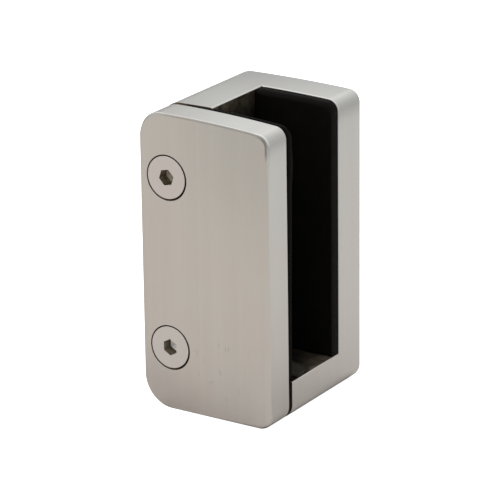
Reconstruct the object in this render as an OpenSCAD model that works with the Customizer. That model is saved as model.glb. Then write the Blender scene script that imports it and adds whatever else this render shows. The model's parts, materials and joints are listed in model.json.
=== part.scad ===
// Glass panel clamp for the lower corner of a laminated pane.
// A block with a spine, a back plate and a floor holds the pane between two rubber gaskets,
// and a loose front plate is drawn against it by two countersunk socket screws.
// The origin is at the middle of the underside. +Z is up, -Y is the front plate's side,
// and the slot is open towards +X and +Z.

/* [Overall] */
// Width, from the closed side of the spine to the open side
body_w = 40; // [36:0.5:70]
// Height
body_h = 82; // [70:1:140]
// Radius of the upper corner on the spine's side
spine_top_r = 7.2; // [3:0.1:8]
// Radius of the lower corner on the spine's side
spine_bottom_r = 8.2; // [3:0.1:9]
// Radius of the upper corner on the open side
open_top_r = 3.8; // [2:0.1:6]
// Radius of the lower corner on the open side
open_bottom_r = 4.4; // [2:0.1:6]
// How far the top edge falls towards the open side
top_fall = 0.4; // [0.1:0.1:1]
// Length of the falling stretch of the top edge
top_fall_run = 18; // [12:1:20]

/* [Block] */
// Thickness of the spine, across the width
spine_t = 16; // [14:0.5:18]
// Thickness of the back plate
back_t = 11; // [8:0.5:16]
// Thickness of the floor under the pane
floor_t = 10.8; // [9:0.1:14]

/* [Front plate] */
// Thickness of the front plate
plate_t = 8.5; // [6:0.1:12]
// Gap between the front plate and the block before the pane is clamped
plate_gap = 1.2; // [0.8:0.1:2]

/* [Pane and rubber] */
// Thickness of the pane that the clamp is made for
pane_t = 17.5; // [12:0.1:22]
// Free space beside the pane before it is clamped
pane_play = 1; // [0.6:0.1:1.8]
// Thickness of each gasket
gasket_t = 3; // [2:0.1:4]
// How far the gaskets stay back from the steel edges and walls
gasket_inset = 0.3; // [0.2:0.1:1]
// Bevel that leads the pane in along the top edge of the gaskets
gasket_bevel = 1; // [0.5:0.1:1.8]
// Thickness of the rest pad
pad_t = 1; // [0.6:0.1:2]
// Depth of the rest pad, along the thickness of the pane
pad_depth = 7.2; // [6:0.1:10]
// Radius of the rest pad's corners on the back gasket's side
pad_r = 5; // [1:0.1:5.5]

/* [Screws] */
// Radius of the screw thread
screw_r = 2.95; // [2.4:0.05:3]
// Overall length of a screw, with its head
screw_len = 25; // [20:1:30]
// Distance between the two screws
screw_spacing = 47.2; // [36:0.1:52]
// How far the screws sit from the middle of the spine, towards the open side
screw_offset = 0.3; // [0:0.1:0.6]
// Radius of the screw head
head_r = 5.8; // [5.4:0.05:6]
// Height of the straight rim of the screw head
head_rim = 0.4; // [0.2:0.05:0.8]
// Size of the hexagon socket across its flats
socket_af = 4; // [3:0.5:4]
// Depth of the hexagon socket
socket_depth = 2.5; // [1.5:0.1:2.8]
// Angle of the upper screw's socket
upper_turn = 0; // [0:1:59]
// Angle of the lower screw's socket
lower_turn = 30; // [0:1:59]

/* [Clearances] */
// Between the thread and its hole, on the radius
thread_fit = 0.05; // [0.02:0.01:0.09]
// Between the screw's shank and the front plate, on the radius
shank_clear = 0.35; // [0.2:0.05:0.6]
// Between the screw head and its countersink, on the radius
head_clear = 0.3; // [0.2:0.05:0.5]
// Room left in the threaded hole when the screw is fully home
tip_clear = 1.5; // [0.5:0.1:3]

/* [Wall fixing] */
// Radius of the two fixing holes through the back plate
wall_hole_r = 4.5; // [3:0.1:5]
// Radius of their countersinks, under the back gasket
wall_sink_r = 8.2; // [6.5:0.1:8.5]
// Distance between the two fixing holes
wall_spacing = 40; // [30:1:50]

/* [Hidden] */
$fn = 96;

STEEL = "#b9b3aa";
SCREW_STEEL = "#c4bfb6";
RUBBER = "#1b1b1b";

// How far a cutting shape runs past the face that it cuts
past = 1;

// Across the width
x_spine = -body_w / 2;
x_open = body_w / 2;
x_slot = x_spine + spine_t;
x_screw = x_spine + spine_t / 2 + screw_offset;
x_wall_hole = (x_slot + x_open) / 2;

// Through the depth, from the front
slot_w = pane_t + pane_play + 2 * gasket_t;
body_d = plate_t + slot_w + back_t;
y_front = -body_d / 2;
y_plate = y_front + plate_t;
y_block = y_plate + plate_gap;
y_back = y_plate + slot_w;
y_rear = body_d / 2;

// Up the height
z_screw_low = (body_h - screw_spacing) / 2;
z_screw_high = (body_h + screw_spacing) / 2;
z_wall_hole = (floor_t + body_h) / 2;

// Threaded holes in the spine
thread_hole_r = screw_r + thread_fit;
thread_hole_depth = screw_len - plate_t + tip_clear;
mouth = 0.5;

// Screws
tip_bevel = 0.8;
socket_r = socket_af / 2 / cos(30);
// The drill's cone at the bottom of the socket
socket_point = socket_af / 2 * tan(31);

// The rest pad lies clear of the front gasket when the front plate is fully closed
y_pad = y_plate + gasket_t + plate_gap + gasket_inset;

// What a rounded corner takes off: a square block less the round that stays.
// at is the sharp corner, out the two directions that point away from the shape.
module corner_waste(at, r, out) {
    translate(at)
        mirror([out[0] < 0 ? 1 : 0, 0])
            mirror([0, out[1] < 0 ? 1 : 0])
                translate([-r, -r])
                    difference() {
                        square(r + past);
                        circle(r);
                    }
}

// What the gentle fall of the top edge takes off, towards the open side
module top_waste(inset) {
    fall_r = (top_fall_run * top_fall_run + top_fall * top_fall) / (2 * top_fall) - inset;
    translate([x_open - top_fall_run, body_h - inset - fall_r])
        difference() {
            translate([0, fall_r - 2 * top_fall]) square([top_fall_run + past, 2 * top_fall + past]);
            circle(fall_r, $fn = 1440);
        }
}

// The clamp's outline seen from the front, with x across and z up.
// inset draws the top and the open side in, for what lies behind the steel edges.
module outline(inset = 0) {
    right = x_open - inset;
    top = body_h - inset;
    difference() {
        translate([x_spine, 0]) square([right - x_spine, top]);
        corner_waste([x_spine, top], spine_top_r, [-1, 1]);
        corner_waste([x_spine, 0], spine_bottom_r, [-1, -1]);
        corner_waste([right, top], open_top_r - inset, [1, 1]);
        corner_waste([right, 0], open_bottom_r - inset, [1, -1]);
        top_waste(inset);
    }
}

// Gives an outline in x and z its thickness, from y0 back to y1
module through_y(y0, y1) {
    translate([0, y1, 0])
        rotate([90, 0, 0])
            linear_extrude(y1 - y0) children();
}

// Stands a shape that is built along +z on the front face, pointing back into the clamp
module at_screw(z, y = y_front) {
    translate([x_screw, y, z])
        rotate([-90, 0, 0]) children();
}

module at_screws(y = y_front) {
    for (z = [z_screw_low, z_screw_high])
        at_screw(z, y) children();
}

// A hole along +z that narrows in a cone from mouth_r to r. The cone starts at depth rim.
module tapered_hole(mouth_r, r, rim, depth) {
    rotate_extrude()
        polygon([
            [0, -past],
            [mouth_r, -past],
            [mouth_r, rim],
            [r, rim + mouth_r - r],
            [r, depth],
            [0, depth],
        ]);
}

module thread_hole() {
    tapered_hole(thread_hole_r + mouth, thread_hole_r, 0, thread_hole_depth);
}

module wall_hole(z) {
    translate([x_wall_hole, y_back, z])
        rotate([-90, 0, 0]) tapered_hole(wall_sink_r, wall_hole_r, 0, back_t + past);
}

module clamp_body() {
    color(STEEL)
        difference() {
            through_y(y_block, y_rear) outline();
            translate([x_slot, y_block - past, floor_t])
                cube([body_w, y_back - y_block + past, body_h]);
            at_screws(y_block) thread_hole();
            for (side = [-1, 1])
                wall_hole(z_wall_hole + side * wall_spacing / 2);
        }
}

module countersunk_hole() {
    tapered_hole(head_r + head_clear, screw_r + shank_clear, head_rim, plate_t + past);
}

module front_plate() {
    color(STEEL)
        difference() {
            through_y(y_front, y_plate) outline();
            at_screws() countersunk_hole();
        }
}

// A gasket covers its steel wall inside the slot. face is the y of that wall,
// and grow the way the rubber builds up from it: 1 backwards, -1 forwards.
module gasket(face, grow) {
    inner = face + grow * gasket_t;
    color(RUBBER)
        difference() {
            through_y(min(face, inner), max(face, inner))
                intersection() {
                    outline(gasket_inset);
                    translate([x_slot + gasket_inset, floor_t + gasket_inset]) square([body_w, body_h]);
                }
            translate([x_spine, inner, body_h - gasket_inset])
                rotate([-45 * grow, 0, 0])
                    translate([0, -body_d, -gasket_bevel / sqrt(2)]) cube([2 * body_w, 2 * body_d, body_d]);
        }
}

module front_gasket() {
    gasket(y_plate, 1);
}

module back_gasket() {
    gasket(y_back, -1);
}

module rest_pad() {
    left = x_slot + gasket_inset;
    right = x_open - gasket_inset;
    back = y_pad + pad_depth;
    color(RUBBER)
        translate([0, 0, floor_t])
            linear_extrude(pad_t)
                difference() {
                    translate([left, y_pad]) square([right - left, pad_depth]);
                    corner_waste([left, back], pad_r, [-1, 1]);
                    corner_waste([right, back], pad_r, [1, 1]);
                }
}

module screw(z, turn) {
    head_h = head_rim + head_r - screw_r;
    color(SCREW_STEEL)
        at_screw(z)
            difference() {
                rotate_extrude()
                    polygon([
                        [0, 0],
                        [head_r, 0],
                        [head_r, head_rim],
                        [screw_r, head_h],
                        [screw_r, screw_len - tip_bevel],
                        [screw_r - tip_bevel, screw_len],
                        [0, screw_len],
                    ]);
                rotate([0, 0, turn]) {
                    translate([0, 0, -past]) cylinder(r = socket_r, h = socket_depth + past, $fn = 6);
                    translate([0, 0, socket_depth]) cylinder(r1 = socket_af / 2, r2 = 0, h = socket_point);
                }
            }
}

module upper_screw() {
    screw(z_screw_high, upper_turn);
}

module lower_screw() {
    screw(z_screw_low, lower_turn);
}

clamp_body();
front_plate();
front_gasket();
back_gasket();
rest_pad();
upper_screw();
lower_screw();
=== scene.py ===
"""Glass panel clamp: satin steel, rubber and screws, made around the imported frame."""

import json
import math
from contextlib import contextmanager

import bmesh
import bpy
from mathutils import Matrix, Vector


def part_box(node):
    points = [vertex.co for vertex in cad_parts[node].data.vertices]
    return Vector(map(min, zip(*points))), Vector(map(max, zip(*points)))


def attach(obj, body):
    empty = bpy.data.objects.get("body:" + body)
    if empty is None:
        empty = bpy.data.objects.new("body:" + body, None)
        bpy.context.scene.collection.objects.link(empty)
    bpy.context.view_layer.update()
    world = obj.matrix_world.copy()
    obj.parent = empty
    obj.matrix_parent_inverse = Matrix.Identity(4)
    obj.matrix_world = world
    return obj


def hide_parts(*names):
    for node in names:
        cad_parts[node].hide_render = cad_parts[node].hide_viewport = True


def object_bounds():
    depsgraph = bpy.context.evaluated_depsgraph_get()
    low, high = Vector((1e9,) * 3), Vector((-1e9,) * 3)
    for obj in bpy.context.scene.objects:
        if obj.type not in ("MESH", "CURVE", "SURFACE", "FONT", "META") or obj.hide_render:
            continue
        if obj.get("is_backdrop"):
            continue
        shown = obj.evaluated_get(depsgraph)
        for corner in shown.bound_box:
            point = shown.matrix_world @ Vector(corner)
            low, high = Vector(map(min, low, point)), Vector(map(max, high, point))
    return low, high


bl_info = {
    "name": "Glass Panel Clamp",
    "version": (1, 0, 0),
    "blender": (4, 5, 0),
    "location": "View3D > Sidebar > Clamp",
    "description": "Makes a glass panel clamp with its gaskets, rest pad and screws",
    "category": "Object",
}

MM = 0.001
QUARTER = math.pi / 2

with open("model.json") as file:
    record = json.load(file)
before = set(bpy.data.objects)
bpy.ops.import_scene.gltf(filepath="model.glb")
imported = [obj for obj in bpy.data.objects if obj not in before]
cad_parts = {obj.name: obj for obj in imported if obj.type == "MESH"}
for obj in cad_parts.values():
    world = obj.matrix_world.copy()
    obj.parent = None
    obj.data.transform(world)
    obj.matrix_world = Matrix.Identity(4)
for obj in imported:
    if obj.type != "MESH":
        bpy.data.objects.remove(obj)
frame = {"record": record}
CAD_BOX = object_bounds()
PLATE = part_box("front_plate")
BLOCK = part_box("clamp_body")
FRONT_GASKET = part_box("front_gasket")
BACK_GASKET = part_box("back_gasket")
REST_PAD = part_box("rest_pad")
SCREWS = {node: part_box(node) for node in ("upper_screw", "lower_screw")}
WALL_BOLTS = next(mount for mount in frame["record"]["mounts"] if mount["name"] == "wall_bolts")

LOW_CORNER = PLATE[0]
LEFT = PLATE[0].x
RIGHT = PLATE[1].x
TOP = PLATE[1].z
FLOOR_Z = REST_PAD[0].z
SLOT_BACK = BACK_GASKET[1].y

# How near a place has to be to count as on a face, how nearly a face has to look one way to count as facing
# it, and how far a cutter reaches past what it cuts
NEAR = 0.01 * MM
FACING = 0.99
PAST = 2 * MM

# The sky's light at the horizon, how much it grows overhead, its least, what the camera sees of it, and its
# tint. Each of its soft patches of light or shade has its direction, how tight it is and how strong it is.
SKY_HORIZON = 0.42
SKY_RISE = 1.0
SKY_LOWEST = 0.03
SKY_SHOWN = 1.2
SKY_TINT = (1.0, 1.0, 1.02, 1.0)
SKY_PATCHES = (
    ((-0.38, 0.79, 0.49), 24.0, 0.32),
    ((-0.7, 0.68, 0.1), 16.0, -0.12),
    ((0.62, 0.77, 0.15), 8.0, -0.1),
    ((0.25, 0.78, 0.57), 20.0, -0.3),
    ((0.63, 0.78, 0.03), 50.0, 0.3),
    ((0.5, -0.65, 0.6), 10.0, -0.7),
    ((-0.5, -0.35, 0.8), 14.0, 0.36),
)

# How much a ground face leans outwards for each metre from the clamp's middle, and near the clamp's edges
FACE_LEAN = (3.2, 0.0, 0.4)
EDGE_LEAN = 0.35

# What the ground steel's red, green and blue are multiplied by at the foot and at the top
FOOT_HUE = (1.01, 0.965, 0.95)
TOP_HUE = (0.995, 1.006, 0.998)

# Painted shade on the front: the place, how far it reaches and how strong it is. Each is at its full strength
# within a short way of its place.
PAINTED_SHADE_FULL = 2 * MM
PAINTED_SHADE_CORNERS = (
    ((RIGHT, LOW_CORNER.y, TOP), 46 * MM, 0.12),
    ((LEFT + 5 * MM, LOW_CORNER.y, 3 * MM), 17 * MM, 0.13),
)

# Half the floor's side, its painted light in front of the clamp, which is warm, and behind it, and the way
# from one to the other
FLOOR_HALF = 3.0
FLOOR_FRONT_WARM_LIGHT = (0.8, 0.745, 0.695, 1.0)
FLOOR_BEHIND_LIGHT = (0.81, 0.798, 0.782, 1.0)
FLOOR_WAY = (0.55, 0.83, 0.0)

# The screw whose socket has painted shade at its bottom too
FULLY_SHADED_SOCKET = "upper_screw"


def length(name, description, millimetres):
    """A length that a user can change, given in millimetres and kept in metres"""
    settings = {"default": millimetres * MM, "precision": 5, "unit": "LENGTH"}
    return bpy.props.FloatProperty(name=name, description=description, **settings)


def angle(name, description, degrees):
    """An angle that a user can change, given in degrees and kept in radians"""
    settings = {"default": math.radians(degrees), "subtype": "ANGLE"}
    return bpy.props.FloatProperty(name=name, description=description, **settings)


def fraction(name, description, default):
    """A number from 0 to 1 that a user can change"""
    settings = {"default": default, "min": 0.0, "max": 1.0, "subtype": "FACTOR"}
    return bpy.props.FloatProperty(name=name, description=description, **settings)


def colour(name, description, red, green, blue):
    """A colour that a user can change"""
    settings = {"default": (red, green, blue), "min": 0.0, "max": 1.0, "size": 3, "subtype": "COLOR"}
    return bpy.props.FloatVectorProperty(name=name, description=description, **settings)


class ClampSteelSizes(bpy.types.PropertyGroup):
    """Shape of the block and the front plate"""

    plate_top_r: length("Upper Plate Corner", "Radius of the plate's upper corner on the spine's side", 7)
    block_top_r: length("Upper Block Corner", "Radius of the block's upper corner on the spine's side", 6.3)
    spine_bottom_r: length("Lower Spine Corner", "Radius of the lower corner on the spine's side", 8.4)
    open_top_r: length("Upper Open Corner", "Radius of the upper corner on the open side", 3.3)
    plate_bottom_r: length("Lower Plate Corner", "Radius of the plate's lower corner on the open side", 4.5)
    block_bottom_r: length("Lower Block Corner", "Radius of the block's lower corner on the open side", 4.4)
    plate_crown_x: length("Plate Crown Place", "Where the plate is highest, from the middle", -8)
    plate_crown_r: length("Plate Crown Radius", "Radius of the long arc of the plate's top", 340)
    block_crown_x: length("Block Crown Place", "Where the block is highest, from the middle", 0)
    block_crown_r: length("Block Crown Radius", "Radius of the long arc of the block's top", 480)
    rim_round: length("Rim Rounding", "Rounding of the outer rims", 0.22)
    spine_corner_round: length("Spine Corner Rounding", "Rounding of the upper spine corner's rim", 0.9)
    open_corner_round: length("Open Corner Rounding", "Rounding of the upper open corner's rim", 0.8)
    foot_round: length("Foot Rounding", "Rounding of the front plate's lower open corner's rim", 1.5)
    joint_round: length("Joint Rounding", "Rounding of the front plate's rims at the gap", 0.4)
    joint_edge: length("Joint Edge", "Rounding of the block's rims at the gap", 0.03)
    joint_relief: length("Joint Relief", "How far the block's front face is ground back", 0.4)
    plate_taper: length("Plate Taper", "How much thicker the front plate is at its foot", 0.35)
    wall_relief: length("Wall Relief", "How far the slot's back wall lies behind the gasket", 0.4)
    slot_round: length("Slot Rounding", "Rounding of the edges of the slot", 0.3)
    hole_round: length("Hole Rounding", "Rounding of the rims of the screw holes", 0.1)


class ClampRubberSizes(bpy.types.PropertyGroup):
    """Shape of the gaskets and the rest pad"""

    inset: length("Inset", "How far the gaskets stay back from the steel edges and walls", 0.3)
    top_lip: length("Top Lip", "Width of the slanting upper edge of a gasket", 0.9)
    edge_round: length("Edge Rounding", "Rounding of the rubber's other edges", 0.3)
    corner_r: length("Gasket Corner", "Radius of a gasket's upper corner on the open side", 2.8)
    ripple: length("Ripple", "How far the cut edge of the rubber wanders", 0.08)
    recess: length("Recess", "How far back the front gasket's edge lies at its foot", 0.6)
    bulge: length("Bulge", "How far the front gasket's edge stands out where it was pressed", 0.35)
    tape_inset: length("Tape Inset", "How far the tape behind the back gasket stays back from its edges", 1.2)
    pad_r: length("Pad Corner", "Radius of the rest pad's two far corners", 5)


class ClampScrewSizes(bpy.types.PropertyGroup):
    """Shape of the countersunk screws and their holes"""

    head_rim: length("Head Rim", "Height of the straight rim of the head", 0.4)
    neck: length("Neck", "Length of the plain shank under the head", 0.2)
    undercut: length("Undercut", "From the head to where the thread's core starts", 0.6)
    tip: length("Tip", "Height and width of the slanting tip", 0.8)
    thread_r: length("Thread Radius", "Outer radius of the thread", 2.95)
    thread_depth: length("Thread Depth", "Depth of the thread", 0.6)
    pitch: length("Pitch", "Advance of the thread in one turn", 1)
    socket_af: length("Socket", "Size of the hexagon socket across its flats", 4)
    socket_depth: length("Socket Depth", "Depth of the hexagon socket", 3.2)
    socket_point: length("Socket Point", "Depth of the point at the socket's bottom", 1.2)
    socket_lip: length("Socket Lip", "Depth of the bright lip at the socket's mouth", 0.15)
    upper_turn: angle("Upper Turn", "How far the upper screw's socket is turned", 13)
    lower_turn: angle("Lower Turn", "How far the lower screw's socket is turned", 30)
    head_gap: length("Head Gap", "Gap between the head and its countersink, on the radius", 0.42)
    hole_drift: length("Hole Drift", "How far the countersinks lie aside of the screws and below them", 0.07)
    shank_gap: length("Shank Gap", "Gap between the thread and the front plate, on the radius", 0.35)
    thread_gap: length("Thread Gap", "Gap between the thread and its hole, on the radius", 0.05)
    thread_hole_depth: length("Thread Hole Depth", "Depth of the threaded holes in the spine", 18)
    thread_hole_round: length("Thread Hole Rounding", "Rounding of the mouths of the threaded holes", 0.5)
    wall_sink_r: length("Wall Countersink", "Radius of the countersinks of the two wall holes", 8.2)


class ClampFinish(bpy.types.PropertyGroup):
    """Colours and gloss of the clamp"""

    steel: colour("Steel", "Colour of the ground steel", 0.583, 0.575, 0.542)
    screw_steel: colour("Screw Steel", "Colour of the screws", 0.62, 0.6, 0.57)
    # Painted shade: the dark colour of the slot's walls and floor, the threaded holes and the block's face at
    # the joint
    shaded_steel: colour("Shaded Steel", "Colour of the unground steel inside", 0.06, 0.052, 0.042)
    # Painted shade: the dark colour of the front plate's back face and its countersinks' walls
    seam_shade_steel: colour("Seam Shade Steel", "Colour of the plate's back and countersinks", 0.17, 0.13, 0.09)
    # Painted light: the lighter colour that the painted shade inside the block turns to near the slot's mouth
    mouth_lit_steel: colour("Mouth Lit Steel", "Colour of the steel at the slot's mouth", 0.45, 0.37, 0.26)
    # Painted shade: the dark colour of the hexagon sockets' walls, and of one socket's bottom
    socket_shade_steel: colour("Socket Shade Steel", "Colour of the hexagon sockets' walls", 0.44, 0.395, 0.32)
    rubber: colour("Rubber", "Colour of the gaskets", 0.0037, 0.0031, 0.0025)
    pad_rubber: colour("Pad Rubber", "Colour of the rest pad", 0.034, 0.031, 0.026)
    steel_roughness: fraction("Steel Roughness", "Roughness of the ground steel", 0.3)


class ClampStage(bpy.types.PropertyGroup):
    """View and light"""

    azimuth: angle("Azimuth", "Camera's turn round the clamp, from its front to its open side", 33.83)
    elevation: angle("Elevation", "Camera's height above the horizon", 20.1)
    roll: angle("Roll", "Camera's tilt to one side", -0.76)
    distance: length("Distance", "From the camera to the middle of the clamp", 772.7)
    aim_right: length("Aim Right", "How far the camera is moved to the left of the clamp's middle", 0.56)
    aim_up: length("Aim Up", "How far the camera is moved below the clamp's middle", 0.84)
    lens: bpy.props.FloatProperty(
        name="Lens", description="Focal length", default=210.3, min=1.0, unit="CAMERA"
    )


# Mesh helpers


def new_piece(name, data):
    """An object in the scene for a finished mesh or a camera"""
    piece = bpy.data.objects.new(name, data)
    bpy.context.scene.collection.objects.link(piece)
    return piece


def piece_from_bmesh(name, shape):
    """An object for a bmesh, whose normals are made to point outwards"""
    bmesh.ops.recalc_face_normals(shape, faces=shape.faces)
    mesh_data = bpy.data.meshes.new(name)
    shape.to_mesh(mesh_data)
    shape.free()
    return new_piece(name, mesh_data)


@contextmanager
def editing(piece):
    """Gives a piece's mesh as a bmesh, and puts it back when it has been changed"""
    shape = bmesh.new()
    shape.from_mesh(piece.data)
    yield shape
    shape.to_mesh(piece.data)
    shape.free()


def add_modifier(piece, name, kind, **settings):
    """A modifier with its settings"""
    modifier = piece.modifiers.new(name, kind)
    for setting, value in settings.items():
        setattr(modifier, setting, value)
    return modifier


def bake_modifiers(piece):
    """Turns what the modifiers make into the piece's own mesh"""
    seen = piece.evaluated_get(bpy.context.evaluated_depsgraph_get())
    baked = bpy.data.meshes.new_from_object(seen)
    piece.modifiers.clear()
    piece.data = baked
    baked.name = piece.name


def give_materials(piece, *materials):
    """Gives a piece its materials, in order"""
    for material in materials:
        piece.data.materials.append(material)


def evenly(start, end, steps):
    """Evenly spaced values from start to end, with both ends"""
    return [start + (end - start) * step / steps for step in range(steps + 1)]


def share_between(value, start, end):
    """How far a value has gone from start to end, from 0 to 1"""
    return min(1.0, max(0.0, (value - start) / (end - start)))


def bump(value, middle, half):
    """A soft bump that is 1 at the middle and falls away on both sides"""
    return math.exp(-(((value - middle) / half) ** 2))


def arc(centre, radius, start, steps, sweep=QUARTER):
    """Points of an arc in a plane, with both its ends"""
    turns = evenly(start, start + sweep, steps)
    return [(centre[0] + radius * math.cos(turn), centre[1] + radius * math.sin(turn)) for turn in turns]


def rounding(radius, steps):
    """Steps round a rounded edge, as pairs of distances from the edge's two faces. The first falls from the
    radius to nought, as the second rises from nought to the radius."""
    turns = evenly(0.0, QUARTER, steps)
    return [(radius * (1 - math.sin(turn)), radius * (1 - math.cos(turn))) for turn in turns]


def loft(name, rings, smooth=True):
    """A closed solid through rings of points. Its ends are flat caps, or single points."""
    shape = bmesh.new()
    loops = [[shape.verts.new(point) for point in ring] for ring in rings]
    count = max(map(len, loops))
    for near, far in zip(loops, loops[1:]):
        for i in range(count):
            j = (i + 1) % count
            corners = [near[i % len(near)], near[j % len(near)], far[j % len(far)], far[i % len(far)]]
            shape.faces.new(list(dict.fromkeys(corners)))
    for end in (loops[0][::-1], loops[-1]):
        if len(end) > 1:
            shape.faces.new(end)
    for face in shape.faces:
        face.smooth = smooth
    return piece_from_bmesh(name, shape)


def prism(name, outline, low, high):
    """A solid with an outline in x and z, from one y to another"""
    return loft(name, [[(x, y, z) for x, z in outline] for y in (low, high)], smooth=False)


def drawn_in(outline, i, amount):
    """A point of an anticlockwise outline, moved inwards by an amount"""
    before, here, after = outline[i - 1], outline[i], outline[(i + 1) % len(outline)]
    along = Vector((after[0] - before[0], after[1] - before[1])).normalized()
    return here[0] - along.y * amount, here[1] + along.x * amount


def rounded_prism(name, outline, low, high, low_round, high_round, steps=5):
    """A prism with rounded rims. low_round and high_round give a rim's rounding at (x, z) on the outline."""
    rings = []
    for rim, inwards, rounding_at in ((low, 1, low_round), (high, -1, high_round)):
        radii = [rounding_at(*point) for point in outline]
        for inset, depth in rounding(1.0, steps)[::inwards]:
            ring = []
            for i, radius in enumerate(radii):
                x, z = drawn_in(outline, i, radius * inset)
                ring.append((x, rim + inwards * radius * depth, z))
            rings.append(ring)
    return loft(name, rings)


def turned(name, profile, axis, steps=96):
    """A solid turned about an axis along y. The profile's (radius, y) points start and end on the axis."""
    rings = []
    for radius, y in profile:
        circle = arc(axis, radius, 0, steps, 2 * math.pi)[:-1] if radius else [axis]
        rings.append([(x, y, z) for x, z in circle])
    return loft(name, rings, smooth=False)


def hexagon(name, axis, radius, start, end, point_y, turn):
    """A hexagonal cutter along y with a pointed end"""
    corners = arc(axis, radius, turn, 6, 2 * math.pi)[:-1]
    rings = [[(x, y, z) for x, z in corners] for y in (start, end)]
    return loft(name, [*rings, [(axis[0], point_y, axis[1])]], smooth=False)


def split_faces(piece):
    """Splits the faces with many sides into triangles, so that a cut through them comes out clean"""
    with editing(piece) as shape:
        bmesh.ops.triangulate(shape, faces=[face for face in shape.faces if len(face.verts) > 4])


def cut_away(piece, cutters):
    """Takes the cutters out of a piece, and out of the scene"""
    for cutter in cutters:
        add_modifier(piece, "Cut", "BOOLEAN", operation="DIFFERENCE", solver="EXACT", object=cutter)
    bake_modifiers(piece)
    for cutter in cutters:
        bpy.data.objects.remove(cutter, do_unlink=True)


def round_edges(piece, rounding_at, sharp=math.radians(28), segments=4):
    """Rounds each sharp edge by the radius that rounding_at gives for it"""
    with editing(piece) as shape:
        bmesh.ops.remove_doubles(shape, verts=shape.verts, dist=NEAR / 10)
        weights = shape.edges.layers.float.new("bevel_weight_edge")
        radii = {}
        for edge in shape.edges:
            if edge.is_manifold and edge.calc_face_angle() > sharp:
                radii[edge] = rounding_at(edge)
        widest = max(radii.values())
        for edge, radius in radii.items():
            edge[weights] = radius / widest
            edge.smooth = radius > 0
        for face in shape.faces:
            face.smooth = True
    settings = {"limit_method": "WEIGHT", "use_clamp_overlap": False, "miter_outer": "MITER_ARC"}
    add_modifier(piece, "Rounding", "BEVEL", width=widest, segments=segments, **settings)
    bake_modifiers(piece)


def flatten_shading(piece):
    """Shades the flat faces flat and the rounded edges round"""
    add_modifier(piece, "Flat Faces", "WEIGHTED_NORMAL", keep_sharp=True, weight=100)
    bake_modifiers(piece)


def mark_shaded(piece, is_shaded):
    """Gives the piece's second material, its painted shade, to the faces that the given test picks by their
    middle and normal
    """
    for face in piece.data.polygons:
        if is_shaded(face.center, face.normal):
            face.material_index = 1


# Shapes of the clamp


def plate_crown(sizes):
    """Where the front plate's top is highest, and the radius of its long arc"""
    return sizes.plate_crown_x, sizes.plate_crown_r


def block_crown(sizes):
    """Where the block's top is highest, and the radius of its long arc"""
    return sizes.block_crown_x, sizes.block_crown_r


def top_drop(x, crown):
    """How far the crowned top edge has fallen at a place across the clamp"""
    return (x - crown[0]) ** 2 / (2 * crown[1])


def corner_on_crown(centre_x, radius, crown, top):
    """The centre of a corner's arc that runs on into a crowned top, and the crown's slope where they meet"""
    slope = (centre_x - crown[0]) / crown[1]
    meets = centre_x + radius * math.sin(slope)
    return (centre_x, top - top_drop(meets, crown) - radius * math.cos(slope)), slope


def clamp_outline(sizes, crown, high_left, low_right, corner_steps=16, top_steps=16, side_steps=24):
    """The outline of the block or the front plate from the front, as (x, z) points, anticlockwise"""
    low_left, high_right = sizes.spine_bottom_r, sizes.open_top_r
    points = arc((LEFT + low_left, low_left), low_left, 2 * QUARTER, corner_steps)
    points += arc((RIGHT - low_right, low_right), low_right, 3 * QUARTER, corner_steps)
    centre, slope = corner_on_crown(RIGHT - high_right, high_right, crown, TOP)
    points += [(RIGHT, z) for z in evenly(low_right, centre[1], side_steps)[1:-1]]
    points += arc(centre, high_right, 0, corner_steps, QUARTER - slope)
    start = points[-1][0]
    centre, slope = corner_on_crown(LEFT + high_left, high_left, crown, TOP)
    end = centre[0] + high_left * math.sin(slope)
    points += [(x, TOP - top_drop(x, crown)) for x in evenly(start, end, top_steps)[1:-1]]
    points += arc(centre, high_left, QUARTER - slope, corner_steps, QUARTER + slope)
    return points


def screw_axis(node):
    """Where a screw's axis stands, as (x, z)"""
    low, high = SCREWS[node]
    return (low.x + high.x) / 2, (low.z + high.z) / 2


def head_radius():
    """Radius of a screw head"""
    low, high = SCREWS["upper_screw"]
    return (high.x - low.x) / 2


def wall_holes():
    """The axes of the two wall holes, as (x, z)"""
    x, _, z = WALL_BOLTS["pos_m"]
    half = WALL_BOLTS["dims"]["spacing_y_mm"] * MM / 2
    return [(x, z - half), (x, z + half)]


def away_from(point, axis):
    """Distance of a point from an axis along y"""
    return math.hypot(point.x - axis[0], point.z - axis[1])


def middle_of(edge):
    """The middle of an edge"""
    return (edge.verts[0].co + edge.verts[1].co) / 2


# Shader node groups and materials


def add_node(tree, kind, inputs=None, **settings):
    """A node with its settings. Each input is given a value, or another node's output to link it to."""
    node = tree.nodes.new(kind)
    for name, value in settings.items():
        setattr(node, name, value)
    for key, value in (inputs or {}).items():
        if isinstance(value, bpy.types.NodeSocket):
            tree.links.new(value, node.inputs[key])
        else:
            node.inputs[key].default_value = value
    return node


def math_node(tree, operation, *operands):
    """A math node's output. Each operand is a number or another node's output."""
    return add_node(tree, "ShaderNodeMath", dict(enumerate(operands)), operation=operation).outputs[0]


def vector_node(tree, operation, *operands):
    """A vector math node's output, which is a number where the operation gives one"""
    node = add_node(tree, "ShaderNodeVectorMath", dict(enumerate(operands)), operation=operation)
    gives_number = operation in ("DISTANCE", "DOT_PRODUCT", "LENGTH")
    return node.outputs["Value" if gives_number else "Vector"]


def times(tree, first, *factors):
    """The product of numbers and nodes' outputs"""
    for factor in factors:
        first = math_node(tree, "MULTIPLY", first, factor)
    return first


def below_one(tree, *factors):
    """One, less the product of numbers and nodes' outputs"""
    return math_node(tree, "SUBTRACT", 1.0, times(tree, *factors))


def scaled(tree, vector, factor):
    """A colour or a vector, times a value that changes over the surface"""
    return add_node(tree, "ShaderNodeVectorMath", {0: vector, "Scale": factor}, operation="SCALE").outputs[0]


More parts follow.
